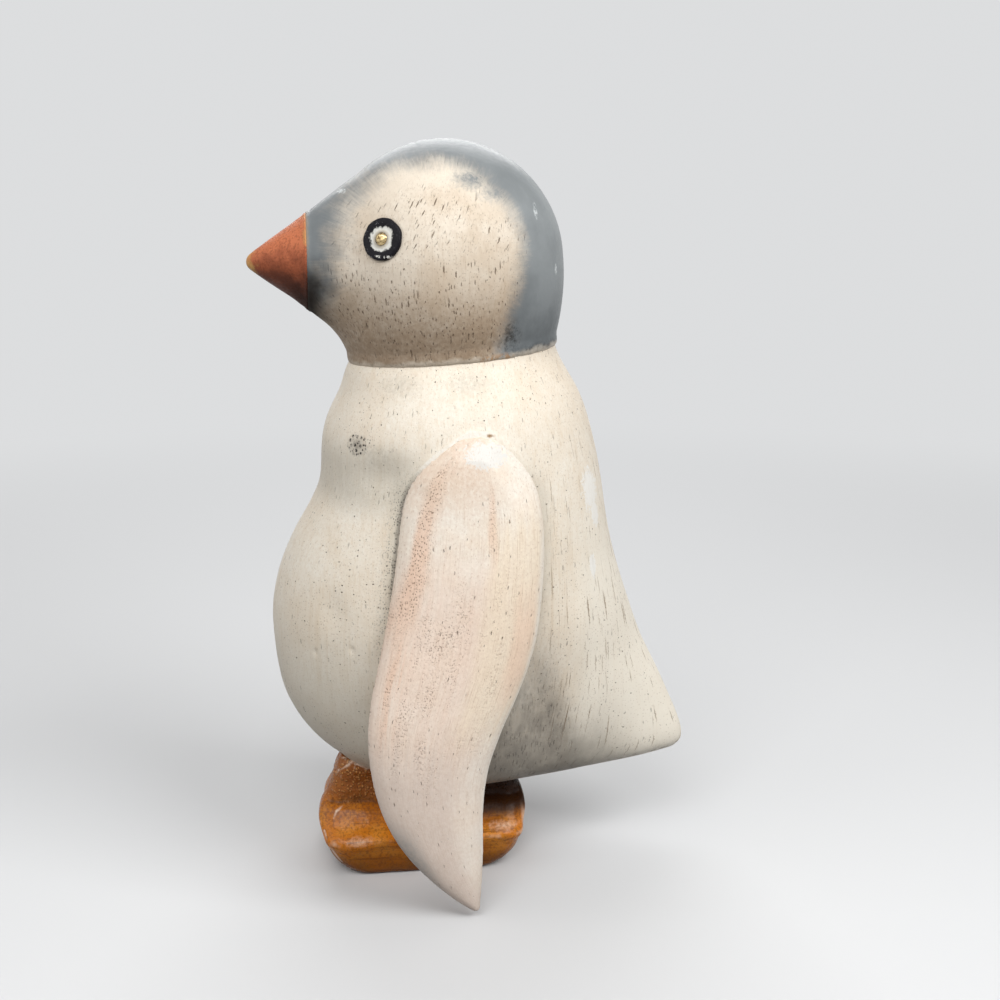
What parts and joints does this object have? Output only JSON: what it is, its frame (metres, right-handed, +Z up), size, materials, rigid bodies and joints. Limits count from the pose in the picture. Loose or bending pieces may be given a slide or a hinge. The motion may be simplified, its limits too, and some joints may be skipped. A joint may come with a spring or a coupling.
{
  "type": "penguin figurine",
  "caption": "Carved and painted wooden penguin figurine that stands on varnished feet, with a separately carved head, cone beak, long flippers and pinned button eyes.",
  "frame": {"origin": "on the floor under the middle of the overall box, between the beak's tip and the tail's tip", "axes": "+Z up, -Y the way the penguin faces, +X toward the penguin's left flipper"},
  "size_m": [0.134, 0.168, 0.2754],
  "materials": {
    "body_paint": "whitewash rubbed into the grain, satin",
    "head_paint": "whitewash with a blue-grey painted cap, satin",
    "beak_paint": "terracotta paint, satin",
    "flipper_paint": "whitewash with a pinkish wood tint, satin",
    "foot_varnish": "amber-brown gloss varnish",
    "eye_lacquer": "gloss black with a white middle",
    "pin_brass": "bright domed nail head",
    "dowel_wood": "bare, glued"
  },
  "bodies": {
    "root": {"body": "body_paint", "head": "head_paint", "beak": "beak_paint", "flipper_left": "flipper_paint", "flipper_right": "flipper_paint", "foot_left": "foot_varnish", "foot_right": "foot_varnish", "eye_disc_left": "eye_lacquer", "eye_disc_right": "eye_lacquer", "eye_pin_left": "pin_brass", "eye_pin_right": "pin_brass", "neck_dowel": "dowel_wood", "beak_dowel": "dowel_wood", "flipper_dowels_left": "dowel_wood", "flipper_dowels_right": "dowel_wood", "foot_dowels_left": "dowel_wood", "foot_dowels_right": "dowel_wood"}
  },
  "joints": []
}
